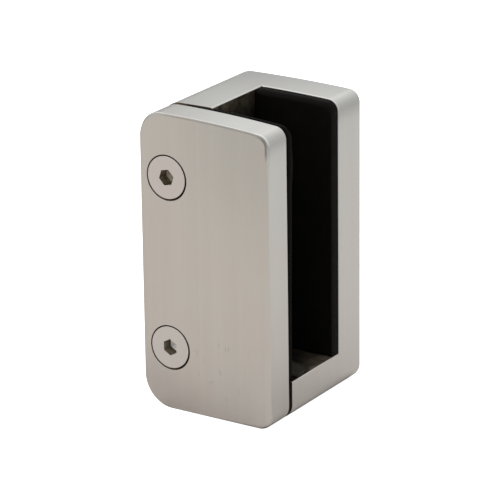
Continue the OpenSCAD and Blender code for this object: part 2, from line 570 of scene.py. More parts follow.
def ramp(tree, value, start, end, low=0.0, high=1.0, kind="SMOOTHSTEP"):
    """Goes from low to high as a value goes from start to end, with soft ends unless kind is LINEAR"""
    inputs = {"Value": value, "From Min": start, "From Max": end, "To Min": low, "To Max": high}
    return add_node(tree, "ShaderNodeMapRange", inputs, interpolation_type=kind).outputs[0]


def noise(tree, vector, scale, detail, roughness=0.5):
    """A noise's value"""
    inputs = {"Vector": vector, "Scale": scale, "Detail": detail, "Roughness": roughness}
    return add_node(tree, "ShaderNodeTexNoise", inputs).outputs[0]


def uneven(tree, value, middle, by):
    """Spreads a noise's value, which mostly stays between 0.3 and 0.7, evenly about another middle"""
    return ramp(tree, value, 0.3, 0.7, middle - by, middle + by, "LINEAR")


def blended(tree, factor, first, second, kind="RGBA"):
    """Goes from one colour, vector or value to another as a factor goes from 0 to 1"""
    inputs = {"Factor": factor, "A": first, "B": second}
    return add_node(tree, "ShaderNodeMix", inputs, data_type=kind).outputs["Result"]


def split(tree, vector):
    """A vector's X, Y and Z"""
    return add_node(tree, "ShaderNodeSeparateXYZ", {0: vector}).outputs


def joined(tree, **parts):
    """A vector of the given X, Y and Z"""
    return add_node(tree, "ShaderNodeCombineXYZ", parts).outputs[0]


def mapped(tree, place, **mapping):
    """A place, moved or scaled by a Mapping node"""
    return add_node(tree, "ShaderNodeMapping", {"Vector": place, **mapping}).outputs[0]


def place_on(tree):
    """The place on the piece, in metres"""
    return add_node(tree, "ShaderNodeTexCoord").outputs["Object"]


def normal_on(tree):
    """The surface's normal"""
    return add_node(tree, "ShaderNodeNewGeometry").outputs["Normal"]


def new_tree(name, kind, inputs, outputs):
    """A node group with named sockets. Gives its tree, what its inputs give and what its outputs take."""
    tree = bpy.data.node_groups.new(name, kind)
    for direction, sockets in (("INPUT", inputs), ("OUTPUT", outputs)):
        for label, socket in sockets.items():
            tree.interface.new_socket(name=label, in_out=direction, socket_type="NodeSocket" + socket)
    return tree, tree.nodes.new("NodeGroupInput").outputs, tree.nodes.new("NodeGroupOutput").inputs


def node_group(name, build):
    """The node group of a name, which is built the first time that it is asked for"""
    return bpy.data.node_groups.get(name) or build(name)


def use_group(tree, name, build, inputs):
    """Places a node group with its own values, and gives its outputs"""
    return add_node(tree, "ShaderNodeGroup", inputs, node_tree=node_group(name, build)).outputs


def ground_grain(name):
    """Node group: lines of a ground finish. They run up the sides and back over the top."""
    inputs = {"Lines Per Metre": "Float", "Stretch": "Float"}
    outputs = {"Grain": "Float", "Bands": "Float", "Cloud": "Float"}
    tree, given, results = new_tree(name, "ShaderNodeTree", inputs, outputs)
    place = place_on(tree)
    upright = math_node(tree, "ABSOLUTE", split(tree, normal_on(tree))["Z"])
    on_top = math_node(tree, "GREATER_THAN", upright, 0.7)
    across = given["Lines Per Metre"]
    along = math_node(tree, "DIVIDE", across, given["Stretch"])
    up, back = joined(tree, X=across, Y=across, Z=along), joined(tree, X=across, Y=along, Z=across)
    stretched = vector_node(tree, "MULTIPLY", place, blended(tree, on_top, up, back, "VECTOR"))
    tree.links.new(noise(tree, stretched, scale=1.0, detail=3.0, roughness=0.6), results["Grain"])
    tree.links.new(noise(tree, stretched, scale=0.15, detail=2.0), results["Bands"])
    tree.links.new(noise(tree, place, scale=60.0, detail=2.0), results["Cloud"])
    return tree


def crowned_face(name):
    """Node group: the surface's normal, leaning outwards the further it is from the middle, and more so on
    the front near the sides, on the sides near the top and on the top near the back, as hand grinding leaves
    a face slightly crowned"""
    inputs = {"Middle": "Vector", "Half Size": "Vector", "Lean": "Vector", "Edge Lean": "Float"}
    tree, given, results = new_tree(name, "ShaderNodeTree", inputs, {"Normal": "Vector"})
    edge_power, side_share, top_share = 9.0, 2.5, 0.25
    normal = normal_on(tree)
    facing = split(tree, normal)
    away = vector_node(tree, "SUBTRACT", place_on(tree), given["Middle"])
    share = split(tree, vector_node(tree, "DIVIDE", away, given["Half Size"]))
    above = math_node(tree, "MAXIMUM", share["Z"], 0.0)
    behind = math_node(tree, "MAXIMUM", share["Y"], 0.0)
    on_front = math_node(tree, "ABSOLUTE", facing["Y"])
    on_side = math_node(tree, "ABSOLUTE", facing["X"])
    rim = joined(
        tree,
        X=times(tree, math_node(tree, "POWER", share["X"], edge_power), on_front),
        Y=times(tree, behind, facing["Z"], top_share),
        Z=times(tree, math_node(tree, "POWER", above, edge_power), on_side, side_share),
    )
    lean = vector_node(tree, "MULTIPLY_ADD", away, given["Lean"], normal)
    leant = vector_node(tree, "MULTIPLY_ADD", rim, given["Edge Lean"], lean)
    tree.links.new(vector_node(tree, "NORMALIZE", leant), results["Normal"])
    return tree


def painted_corner_shade(tree, normal):
    """A value that falls a little below one on the front, towards the upper open corner and towards the lower
    corner of the spine: painted shade"""
    place = place_on(tree)
    forwards = vector_node(tree, "DOT_PRODUCT", normal, (0.0, -1.0, 0.0))
    front = math_node(tree, "GREATER_THAN", forwards, 0.9)
    marks = []
    for corner, reach, strength in PAINTED_SHADE_CORNERS:
        away = vector_node(tree, "DISTANCE", place, corner)
        marks.append(below_one(tree, ramp(tree, away, reach, PAINTED_SHADE_FULL, high=strength), front))
    return times(tree, *marks)


def foot_shade(tree):
    """A value that falls below one where the foot's edges turn downwards, and more so towards the open side:
    painted shade where the clamp stands on the floor"""
    across = split(tree, place_on(tree))["X"]
    downwards = ramp(tree, split(tree, normal_on(tree))["Z"], -0.5, -0.8)
    return below_one(tree, downwards, ramp(tree, across, -2 * MM, 12 * MM, 0.3, 0.9, "LINEAR"))


def nicks(tree):
    """A value that falls below one in a few short upright nicks low on the front plate"""
    place = place_on(tree)
    drawn_out = mapped(tree, place, Scale=(1400.0, 0.0, 260.0))
    deep = ramp(tree, noise(tree, drawn_out, scale=1.0, detail=1.0), 0.64, 0.74, high=0.22)
    away = vector_node(tree, "DISTANCE", place, (3 * MM, LOW_CORNER.y, 14 * MM))
    return below_one(tree, deep, ramp(tree, away, 13 * MM, 5 * MM))


def rim_shade(tree, steel):
    """A value that falls below one along the front's upper rim, and in a crease round its upper open corner:
    painted shade"""
    axes = split(tree, place_on(tree))
    corner_r = steel.open_top_r
    aside = math_node(tree, "SUBTRACT", axes["X"], steel.plate_crown_x)
    drop = math_node(tree, "DIVIDE", times(tree, aside, aside), 2 * steel.plate_crown_r)
    height = math_node(tree, "ADD", axes["Z"], drop)
    across = math_node(tree, "MAXIMUM", math_node(tree, "SUBTRACT", axes["X"], RIGHT - corner_r), 0.0)
    above = math_node(tree, "MAXIMUM", math_node(tree, "SUBTRACT", height, TOP - corner_r), 0.0)
    from_corner = vector_node(tree, "LENGTH", joined(tree, X=across, Y=above))
    depth = math_node(tree, "SUBTRACT", corner_r, from_corner)

    def line(middle, half, strength, *fades):
        off = math_node(tree, "ABSOLUTE", math_node(tree, "SUBTRACT", depth, middle))
        return times(tree, ramp(tree, off, half, half / 3, high=strength), *fades)

    corner = (RIGHT - 0.3 * corner_r, 0.0, TOP - 0.9 * corner_r)
    away = vector_node(tree, "DISTANCE", joined(tree, X=axes["X"], Z=height), corner)
    # Painted shade: a dark crease round the upper open corner, and a darker line under the upper rim
    crease = line(steel.open_corner_round, 0.45 * MM, 0.5, ramp(tree, away, 4.2 * MM, 1.5 * MM))
    from_spine = ramp(tree, axes["X"], LEFT + 4 * MM, LEFT + 12 * MM)
    shadow = line(0.5 * MM, 0.35 * MM, 0.22, from_spine, ramp(tree, above, 1.5 * MM, 2.5 * MM))
    skin = ramp(tree, axes["Y"], LOW_CORNER.y + 0.6 * MM, LOW_CORNER.y + 0.2 * MM)
    return below_one(tree, math_node(tree, "MAXIMUM", crease, shadow), skin)


def new_material(name, metallic):
    """A material with a Principled BSDF. Gives the material, its tree and the shader."""
    material = bpy.data.materials.new(name)
    material.use_nodes = True
    shader = material.node_tree.nodes["Principled BSDF"]
    shader.inputs["Metallic"].default_value = metallic
    return material, material.node_tree, shader


def dress(tree, shader, paint, roughness, bump):
    """Links a shader's colour, its roughness and the inputs of its bump"""
    tree.links.new(paint, shader.inputs["Base Color"])
    tree.links.new(roughness, shader.inputs["Roughness"])
    tree.links.new(add_node(tree, "ShaderNodeBump", bump).outputs[0], shader.inputs["Normal"])


def tinted(tint, ratios):
    """A colour with its red, green and blue changed a little, and no transparency"""
    return (*(part * ratio for part, ratio in zip(tint, ratios)), 1.0)


def satin_steel(name, tint, roughness, shaded_and_nicked=None):
    """Stainless steel ground to a satin finish, with lines that run along its faces, and painted shade on the
    front towards two corners and along the foot. Given the steel's sizes, it also has the front plate's
    painted shade along its upper rim, and its nicks."""
    material, tree, shader = new_material(name, 1.0)
    grain = use_group(tree, "Ground Grain", ground_grain, {"Lines Per Metre": 2200.0, "Stretch": 60.0})
    low, high = CAD_BOX
    crown = {"Middle": (low + high) / 2, "Half Size": (high - low) / 2}
    crown.update({"Lean": FACE_LEAN, "Edge Lean": EDGE_LEAN})
    normal = use_group(tree, "Crowned Face", crowned_face, crown)["Normal"]
    lines = grain["Grain"]
    shades = [uneven(tree, lines, 1.0, 0.012), uneven(tree, grain["Bands"], 1.0, 0.015)]
    # Painted shade on the front towards two corners, and painted shade along the foot
    shades += [painted_corner_shade(tree, normal), foot_shade(tree)]
    if shaded_and_nicked:
        # Painted shade along the front plate's upper rim, and the plate's nicks
        shades += [rim_shade(tree, shaded_and_nicked), nicks(tree)]
    rise = ramp(tree, split(tree, place_on(tree))["Z"], 0.0, TOP, kind="LINEAR")
    cloudy_rise = math_node(tree, "ADD", rise, uneven(tree, grain["Cloud"], 0.0, 0.3))
    hue = blended(tree, cloudy_rise, tinted(tint, FOOT_HUE), tinted(tint, TOP_HUE))
    bump = {"Strength": 0.08, "Distance": 0.01 * MM, "Height": lines, "Normal": normal}
    paint = scaled(tree, hue, times(tree, *shades))
    dress(tree, shader, paint, uneven(tree, lines, roughness, 0.02), bump)
    return material


def turned_steel(name, tint, centre):
    """Steel with the fine rings that a lathe leaves, round an axis along y"""
    material, tree, shader = new_material(name, 1.0)
    off_axis = mapped(tree, place_on(tree), Location=(-centre[0], 0.0, -centre[1]), Scale=(1.0, 0.0, 1.0))
    radius = vector_node(tree, "LENGTH", off_axis)
    ringing = {"W": radius, "Scale": 4000.0, "Detail": 2.0}
    rings = add_node(tree, "ShaderNodeTexNoise", ringing, noise_dimensions="1D").outputs[0]
    bump = {"Strength": 0.15, "Distance": 0.01 * MM, "Height": rings}
    paint = scaled(tree, tint, uneven(tree, rings, 1.0, 0.03))
    dress(tree, shader, paint, uneven(tree, rings, 0.32, 0.04), bump)
    return material


def slot_mouth_light(tree, place):
    """How far the painted shade inside the block turns to painted light, from 0 to 1: more near the slot's
    mouth, which is near the top and near the open side behind the pad, in random patches, and partly on the
    face at the joint"""
    axes = split(tree, place)
    near_top = ramp(tree, axes["Z"], TOP - 7 * MM, TOP)
    near_side = ramp(tree, axes["X"], RIGHT - 9 * MM, RIGHT)
    behind_pad = ramp(tree, axes["Y"], REST_PAD[0].y, REST_PAD[1].y)
    mouth = math_node(tree, "MAXIMUM", near_top, times(tree, near_side, behind_pad))
    patches = uneven(tree, noise(tree, place, scale=150.0, detail=3.0), 0.5, 0.5)
    joint = times(tree, math_node(tree, "LESS_THAN", axes["Y"], BLOCK[0].y + MM), 0.3)
    return math_node(tree, "MAXIMUM", times(tree, mouth, patches), joint)


def shaded_steel(name, tint, mouth_light_tint=None):
    """Dark steel with a mottled skin, used as painted shade on faces inside the clamp. It may turn lighter
    near the slot's mouth, as painted light.
    """
    material, tree, shader = new_material(name, 1.0)
    place = place_on(tree)
    mottle = noise(tree, place, scale=500.0, detail=4.0)
    paint = scaled(tree, tint, uneven(tree, mottle, 1.0, 0.25))
    if mouth_light_tint:
        # Painted light near the slot's mouth
        paint = blended(tree, slot_mouth_light(tree, place), paint, (*mouth_light_tint, 1.0))
    bump = {"Strength": 0.4, "Distance": 0.02 * MM, "Height": mottle}
    dress(tree, shader, paint, uneven(tree, mottle, 0.475, 0.075), bump)
    return material


def matt_rubber(name, tint):
    """Black rubber with a fine bloom on it"""
    material, tree, shader = new_material(name, 0.0)
    shader.inputs["Specular IOR Level"].default_value = 0.07
    place = place_on(tree)
    bloom = noise(tree, place, scale=300.0, detail=4.0)
    skin = noise(tree, place, scale=5000.0, detail=2.0)
    bump = {"Strength": 0.3, "Distance": 0.03 * MM, "Height": skin}
    paint = scaled(tree, tint, uneven(tree, bloom, 1.05, 0.25))
    dress(tree, shader, paint, uneven(tree, bloom, 0.79, 0.07), bump)
    return material


# Pieces


def hole_profile(start, end, mouth_r, mouth_round, *inside):
    """Profile of a hole's cutter: a rounded mouth, then the (radius, y) points inside"""
    towards = 1 if end > start else -1
    outer = mouth_r + mouth_round
    flare = [(mouth_r + aside, start + towards * depth) for aside, depth in rounding(mouth_round, 4)]
    return [(0, start - towards * PAST), (outer, start - towards * PAST), *flare, *inside, (0, end)]


def thread_holes(front, radius, screws):
    """Cutters for the threaded holes in the spine, each with a pointed end"""
    end = front + screws.thread_hole_depth
    profile = hole_profile(front, end + radius / 2, radius, screws.thread_hole_round, (radius, end))
    return [turned("thread_hole", profile, screw_axis(node)) for node in SCREWS]


def wall_hole_cutters(slot_back, sink_r, hole_round):
    """Cutters for the two wall holes, which are countersunk from inside the slot"""
    wall_r = WALL_BOLTS["dims"]["hole_r_mm"] * MM
    through = SLOT_BACK - PAST
    sink = [(0, through), (sink_r, through), (sink_r, slot_back), (0, slot_back + sink_r)]
    hole = hole_profile(BLOCK[1].y, through, wall_r, hole_round, (wall_r, through))
    return [turned("wall_hole", profile, axis) for axis in wall_holes() for profile in (sink, hole)]


def make_block(scene):
    """The block: spine, back plate and floor in one piece, with its slot and holes"""
    steel, screws = scene.clamp_steel, scene.clamp_screws
    low, high = BLOCK
    front = low.y + steel.joint_relief
    slot_left = BACK_GASKET[0].x - scene.clamp_rubber.inset
    slot_back = SLOT_BACK + steel.wall_relief
    corners = (steel.block_top_r, steel.block_bottom_r)
    outline = clamp_outline(steel, block_crown(steel), *corners, top_steps=14, side_steps=1)
    piece = prism("steel_block", outline, front, high.y)
    slot_right, slot_top = RIGHT + PAST, TOP + PAST
    opening = [(slot_left, FLOOR_Z), (slot_right, FLOOR_Z), (slot_right, slot_top), (slot_left, slot_top)]
    cut_away(piece, [prism("slot", opening, low.y - PAST, slot_back)])

    def rounding_at(edge):
        middle = middle_of(edge)
        if not edge.is_convex:
            return 0.0
        if middle.y < front + NEAR:
            return steel.joint_edge
        in_slot = middle.x > slot_left - NEAR and middle.z > FLOOR_Z - NEAR and middle.y < slot_back + NEAR
        return steel.slot_round if in_slot else steel.rim_round

    round_edges(piece, rounding_at)
    split_faces(piece)
    thread_hole_r = screws.thread_r + screws.thread_gap
    cutters = thread_holes(front, thread_hole_r, screws)
    cutters += wall_hole_cutters(slot_back, screws.wall_sink_r, steel.hole_round)
    cut_away(piece, cutters)
    sides = ((0, slot_left, 1), (1, slot_back, -1), (2, FLOOR_Z, 1))

    # Painted shade: the block's face at the joint, the threaded holes' walls, and the slot's side wall, back
    # wall and floor take the dark second material
    def is_shaded(middle, normal):
        if middle.y < front + 2 * steel.joint_edge:
            return True
        if any(away_from(middle, screw_axis(node)) < thread_hole_r + NEAR for node in SCREWS):
            return abs(normal.y) < FACING
        return any(normal[k] * way > FACING and abs(middle[k] - place) < NEAR for k, place, way in sides)

    mark_shaded(piece, is_shaded)
    flatten_shading(piece)
    return piece


def front_rounding(steel):
    """Gives the rounding of the front plate's front rim at each place on it. It is wider at three of its
    corners, which were blended by hand."""

    def rounding_at(x, z):
        at_open = bump(z, TOP - 5 * MM, 6 * MM) if x > RIGHT - steel.open_top_r else 0.0
        at_spine = share_between(x, LEFT + 9 * MM, LEFT) * share_between(z, TOP - 10 * MM, TOP - 5 * MM)
        at_foot = share_between(x, -6 * MM, 14 * MM) * share_between(z, 8 * MM, 3 * MM)
        radii = (steel.open_corner_round, steel.spine_corner_round, steel.foot_round)
        shares = zip(radii, (at_open, at_spine, at_foot))
        return steel.rim_round + sum((radius - steel.rim_round) * share for radius, share in shares)

    return rounding_at


def make_front_plate(scene):
    """The front plate, with its two countersunk holes"""
    steel, screws = scene.clamp_steel, scene.clamp_screws
    low, high = PLATE
    outline = clamp_outline(steel, plate_crown(steel), steel.plate_top_r, steel.plate_bottom_r)
    rims = (front_rounding(steel), lambda x, z: steel.joint_round)
    piece = rounded_prism("steel_front_plate", outline, low.y, high.y, *rims)
    for vertex in piece.data.vertices:
        if vertex.co.y > (low.y + high.y) / 2:
            vertex.co.y += steel.plate_taper * (1 - vertex.co.z / TOP)
    split_faces(piece)
    sink_r = head_radius() + screws.head_gap
    hole_r = screws.thread_r + screws.shank_gap
    cone_start = low.y + screws.head_rim
    inside = [(sink_r, cone_start), (hole_r, cone_start + sink_r - hole_r), (hole_r, high.y + PAST)]
    profile = hole_profile(low.y, high.y + PAST, sink_r, steel.hole_round, *inside)
    holes = [(x + screws.hole_drift, z - screws.hole_drift) for x, z in map(screw_axis, SCREWS)]
    cut_away(piece, [turned("countersink", profile, axis) for axis in holes])

    # Painted shade: the plate's back face and the countersinks' walls below their rounded rims take the dark
    # second material
    def is_shaded(middle, normal):
        if normal.y > FACING and middle.y > high.y - NEAR:
            return True
        in_hole = any(away_from(middle, axis) < sink_r + NEAR for axis in holes)
        return in_hole and middle.y > low.y + steel.hole_round

    mark_shaded(piece, is_shaded)
    flatten_shading(piece)
    return piece


def gasket_outline(sizes, box, inset, top_inset, crown, side_steps=60, top_steps=24):
    """A gasket's outline from the front, drawn in by inset. Gives (x, z) points, anticlockwise."""
    low, high = box
    left, right = low.x + inset, high.x - inset
    bottom, top = low.z + inset, high.z - top_inset
    radius = max(sizes.corner_r - inset, 0.2 * MM)
    centre, slope = corner_on_crown(right - radius, radius, crown, top)
    points = [(x, bottom) for x in evenly(left, right, top_steps)[:-1]]
    points += [(right, z) for z in evenly(bottom, centre[1], side_steps)[:-1]]
    points += arc(centre, radius, 0, 12, QUARTER - slope)
    points += [(x, top - top_drop(x, crown)) for x in evenly(points[-1][0], left, top_steps)[1:]]
    points += [(left, z) for z in evenly(points[-1][1], bottom, side_steps)[1:-1]]
    return points


def wander(x, z, phase):
    """How far a hand-trimmed rubber edge wanders at a place along it, from -1 to 1, by two slow waves and a
    quick one"""
    waves = ((0.4, 210 * z), (0.4, 330 * x), (0.2, 730 * z))
    return sum(size * math.sin(turn + number * phase) for number, (size, turn) in enumerate(waves, 1))


def front_shift(sizes, z):
    """The front gasket's edge lies further back lower down, and bulges where it was pressed"""
    straight_from = FLOOR_Z + 0.86 * (TOP - FLOOR_Z)
    back = 1 - min(1.0, (z - FLOOR_Z) / (straight_from - FLOOR_Z))
    return sizes.bulge * bump(z, 70 * MM, 4 * MM) - sizes.recess * back


def make_gasket(scene, name, box, wall_first, phase):
    """A gasket with a slanting upper edge. wall_first says that its low y is the steel wall that it is stuck
    to, as the front gasket's is. The back gasket is stuck on with tape, which is as thick as the relief of
    the wall behind it."""
    sizes, steel = scene.clamp_rubber, scene.clamp_steel
    crown = plate_crown(steel) if wall_first else block_crown(steel)
    low, high = box
    wall, face, inwards = (low.y, high.y, 1) if wall_first else (high.y, low.y, -1)
    levels = [(wall, 0.0, 0.0), (face - inwards * sizes.top_lip, 0.0, 0.0)]
    if not wall_first:
        tape = sizes.tape_inset
        levels = [(wall + steel.wall_relief, tape, tape), (wall, tape, tape), *levels]
    for back, inset in rounding(sizes.edge_round, 5):
        levels.append((face - inwards * back, inset, inset + sizes.top_lip - back))
    rings = []
    for y, inset, top_inset in levels:
        ring = []
        for x, z in gasket_outline(sizes, box, inset, top_inset, crown):
            openness = share_between((x - low.x) / (high.x - low.x), 0.9, 1.0)
            shift = front_shift(sizes, z) if wall_first else 0.0
            ring.append((x + openness * (shift - sizes.ripple * wander(x, z, phase)), y, z))
        rings.append(ring)
    piece = loft(name, rings)
    flatten_shading(piece)
    return piece


def make_rest_pad(scene):
    """The rubber pad on the floor that the pane stands on, with round far corners"""
    sizes = scene.clamp_rubber
    low, high = REST_PAD

    def ring(z, inset):
        left, right, front, back = low.x + inset, high.x - inset, low.y + inset, high.y - inset
        radius = sizes.pad_r - inset
        points = [(left, front), (right, front)]
        points += arc((right - radius, back - radius), radius, 0, 12)
        points += arc((left + radius, back - radius), radius, QUARTER, 12)
        return [(x, y, z) for x, y in points]

    upper = [ring(high.z - down, inset) for down, inset in rounding(sizes.edge_round, 4)]
    piece = loft("rubber_rest_pad", [ring(low.z, 0.0), *upper])
    flatten_shading(piece)
    return piece


# Screws


def screw_thread(name):
    """Geometry nodes that wind a thread's ridge round a core"""
    lengths = dict.fromkeys(("Core Radius", "Depth", "Pitch", "Start", "Turns"), "Float")
    inputs = {**lengths, "Steps Per Turn": "Int", "Place": "Vector", "Material": "Material"}
    tree, given, results = new_tree(name, "GeometryNodeTree", inputs, {"Geometry": "Geometry"})
    tree.is_modifier = True
    steps, turns, pitch, depth = (given[label] for label in ("Steps Per Turn", "Turns", "Pitch", "Depth"))
    count = math_node(tree, "ADD", times(tree, turns, steps), 1.0)
    line = add_node(tree, "GeometryNodeMeshLine", {"Offset": (0.0, 0.0, 0.0), "Count": count}).outputs[0]
    turn = math_node(tree, "DIVIDE", add_node(tree, "GeometryNodeInputIndex").outputs[0], steps)
    run_in = math_node(tree, "MINIMUM", turn, 1.0)
    run_out = math_node(tree, "MINIMUM", math_node(tree, "SUBTRACT", turns, turn), 1.0)
    sunk = times(tree, below_one(tree, run_in, run_out), depth)
    radius = math_node(tree, "SUBTRACT", given["Core Radius"], sunk)
    swing = times(tree, turn, 2 * math.pi)
    place = joined(
        tree,
        X=times(tree, radius, math_node(tree, "COSINE", swing)),
        Y=times(tree, radius, math_node(tree, "SINE", swing)),
        Z=math_node(tree, "MULTIPLY_ADD", turn, pitch, given["Start"]),
    )
    helix = add_node(tree, "GeometryNodeSetPosition", {"Geometry": line, "Position": place}).outputs[0]
    curve = add_node(tree, "GeometryNodeMeshToCurve", {"Mesh": helix}).outputs[0]
    upright = add_node(tree, "GeometryNodeSetCurveNormal", {"Curve": curve}, mode="Z_UP").outputs[0]
    root_half, crest_half = times(tree, pitch, 0.45), times(tree, pitch, 0.07)
    sunk_in = times(tree, depth, -0.2)
    ridge = add_node(tree, "GeometryNodeCurvePrimitiveQuadrilateral", mode="POINTS")
    root = ((sunk_in, root_half, -1.0), (sunk_in, root_half, 1.0))
    crest = ((depth, crest_half, 1.0), (depth, crest_half, -1.0))
    for number, (out, half, side) in enumerate(root + crest, 1):
        tree.links.new(joined(tree, X=out, Y=times(tree, half, side)), ridge.inputs["Point %d" % number])
    swept = {"Curve": upright, "Profile Curve": ridge.outputs[0], "Fill Caps": True}
    thread = add_node(tree, "GeometryNodeCurveToMesh", swept).outputs[0]
    lying = {"Geometry": thread, "Translation": given["Place"], "Rotation": (-QUARTER, 0.0, 0.0)}
    laid = add_node(tree, "GeometryNodeTransform", lying).outputs[0]
    realized = add_node(tree, "GeometryNodeRealizeInstances", {0: laid}).outputs[0]
    painted = {"Geometry": realized, "Material": given["Material"]}
    tree.links.new(add_node(tree, "GeometryNodeSetMaterial", painted).outputs[0], results["Geometry"])
    return tree


def make_thread(name, settings):
    """A screw's thread, wound by geometry nodes"""
    piece = new_piece(name, bpy.data.meshes.new(name))
    winding = add_modifier(piece, "Thread", "NODES", node_group=node_group("Screw Thread", screw_thread))
    for item in winding.node_group.interface.items_tree:
        if item.in_out == "INPUT":
            winding[item.identifier] = settings[item.name]
    bake_modifiers(piece)
    with editing(piece) as shape:
        bmesh.ops.recalc_face_normals(shape, faces=shape.faces)
    return piece


def make_screw(scene, node, socket_turn):
    """A countersunk screw with a hexagon socket, and its thread. Gives both pieces."""
    sizes, steel, finish = scene.clamp_screws, scene.clamp_steel, scene.clamp_finish
    low, high = SCREWS[node]
    axis = screw_axis(node)
    head_r = head_radius()
    core_r = sizes.thread_r - sizes.thread_depth
    head_end = low.y + sizes.head_rim + head_r - sizes.thread_r
    thread_start = head_end + sizes.undercut
    thread_end = high.y - sizes.tip
    profile = [
        (0, low.y),
        (head_r, low.y),
        (head_r, low.y + sizes.head_rim),
        (sizes.thread_r, head_end),
        (sizes.thread_r, head_end + sizes.neck),
        (core_r, thread_start),
        (core_r, thread_end),
        (core_r - sizes.tip, high.y),
        (0, high.y),
    ]
    piece = turned(node.replace("_screw", "_socket_screw"), profile, axis)
    socket_r = sizes.socket_af / 2 / math.cos(math.pi / 6)
    bottom = low.y + sizes.socket_depth
    point = bottom + sizes.socket_point
    cut_away(piece, [hexagon("socket", axis, socket_r, low.y - PAST, bottom, point, socket_turn)])

    def rounding_at(edge):
        return steel.hole_round if middle_of(edge).y < low.y + NEAR else 0.0

    # Painted shade: the socket's walls below its lip, and for one screw its bottom too, take the dark second
    # material
    def is_shaded(middle, normal):
        below_lip = low.y + sizes.socket_lip < middle.y < point + NEAR
        is_wall = abs(normal.y) < 0.1
        return below_lip and away_from(middle, axis) < socket_r and (is_wall or node == FULLY_SHADED_SOCKET)

    round_edges(piece, rounding_at, segments=3)
    mark_shaded(piece, is_shaded)
    flatten_shading(piece)
    side = node.split("_")[0].title()
    outer = turned_steel("Turned Steel " + side, finish.screw_steel, axis)
    give_materials(piece, outer, shaded_steel("Shaded Socket Steel " + side, finish.socket_shade_steel))
    settings = {
        "Core Radius": core_r,
        "Depth": sizes.thread_depth,
        "Pitch": sizes.pitch,
        "Start": thread_start - low.y + sizes.pitch / 2,
        "Turns": math.floor((thread_end - thread_start) / sizes.pitch * 4) / 4,
        "Steps Per Turn": 32,
        "Place": Vector((axis[0], low.y, axis[1])),
        "Material": outer,
    }
    return piece, make_thread(node.replace("_screw", "_screw_thread"), settings)


# Stage


def make_camera(stage):
    """The camera, turned round the middle of the clamp"""
    low, high = CAD_BOX
    turn, rise = stage.azimuth, stage.elevation
    back = Vector((math.sin(turn) * math.cos(rise), -math.cos(turn) * math.cos(rise), math.sin(rise)))
    right = (-back).cross(Vector((0.0, 0.0, 1.0))).normalized()
    up = right.cross(-back)
    turned_right = right * math.cos(stage.roll) + up * math.sin(stage.roll)
    turned_up = up * math.cos(stage.roll) - right * math.sin(stage.roll)
    middle = (low + high) / 2
    spot = middle + back * stage.distance - turned_right * stage.aim_right - turned_up * stage.aim_up
    data = bpy.data.cameras.new("Camera")
    data.lens = stage.lens
    data.sensor_width = 36.0
    data.clip_start, data.clip_end = 0.01, 20.0
    camera = new_piece("Camera", data)
    axes = Matrix((turned_right, turned_up, back)).transposed()
    camera.matrix_world = Matrix.Translation(spot) @ axes.to_4x4()
    bpy.context.scene.camera = camera


def make_floor():
    """A wide pale floor that shows as plain white. Painted light in its colour makes it warmer in front of
    the clamp than behind it.
    """
    shape = bmesh.new()
    bmesh.ops.create_grid(shape, x_segments=1, y_segments=1, size=FLOOR_HALF)
    floor = piece_from_bmesh("studio_floor", shape)
    material, tree, shader = new_material("Studio Floor", 0.0)
    behind = ramp(tree, vector_node(tree, "DOT_PRODUCT", place_on(tree), FLOOR_WAY), -0.12, 0.08)
    tree.links.new(blended(tree, behind, FLOOR_FRONT_WARM_LIGHT, FLOOR_BEHIND_LIGHT), shader.inputs["Base Color"])
    shader.inputs["Roughness"].default_value = 1.0
    shader.inputs["Specular IOR Level"].default_value = 0.0
    seen = add_node(tree, "ShaderNodeLightPath").outputs["Is Camera Ray"]
    glow = add_node(tree, "ShaderNodeEmission", {"Strength": seen}).outputs[0]
    both = add_node(tree, "ShaderNodeAddShader", {0: shader.outputs[0], 1: glow}).outputs[0]
    tree.links.new(both, tree.nodes["Material Output"].inputs["Surface"])
    give_materials(floor, material)
    floor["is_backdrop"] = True


def soft_patch(name):
    """Node group: a round patch of light or shade in the sky that fades out"""
    inputs = {"Direction": "Vector", "Aim": "Vector", "Tightness": "Float", "Strength": "Float"}
    tree, given, results = new_tree(name, "ShaderNodeTree", inputs, {"Level": "Float"})
    aim = vector_node(tree, "NORMALIZE", given["Aim"])
    facing = math_node(tree, "MAXIMUM", vector_node(tree, "DOT_PRODUCT", given["Direction"], aim), 0.0)
    level = times(tree, math_node(tree, "POWER", facing, given["Tightness"]), given["Strength"])
    tree.links.new(level, results["Level"])
    return tree


def make_world():
    """Soft light from all round, brighter overhead and darker behind the camera. It shows as white."""
    world = bpy.data.worlds.new("Studio")
    bpy.context.scene.world = world
    world.use_nodes = True
    tree = world.node_tree
    direction = place_on(tree)
    height = math_node(tree, "MAXIMUM", split(tree, direction)["Z"], 0.0)
    level = math_node(tree, "MULTIPLY_ADD", height, SKY_RISE, SKY_HORIZON)
    for aim, tightness, strength in SKY_PATCHES:
        inputs = {"Direction": direction, "Aim": aim, "Tightness": tightness, "Strength": strength}
        patch = use_group(tree, "Soft Patch", soft_patch, inputs)["Level"]
        level = math_node(tree, "ADD", level, patch)
    level = math_node(tree, "MAXIMUM", level, SKY_LOWEST)
    seen = add_node(tree, "ShaderNodeLightPath").outputs["Is Camera Ray"]
    backdrop = tree.nodes["Background"]
    backdrop.inputs["Color"].default_value = SKY_TINT
    tree.links.new(blended(tree, seen, level, SKY_SHOWN, "FLOAT"), backdrop.inputs["Strength"])


# Operators


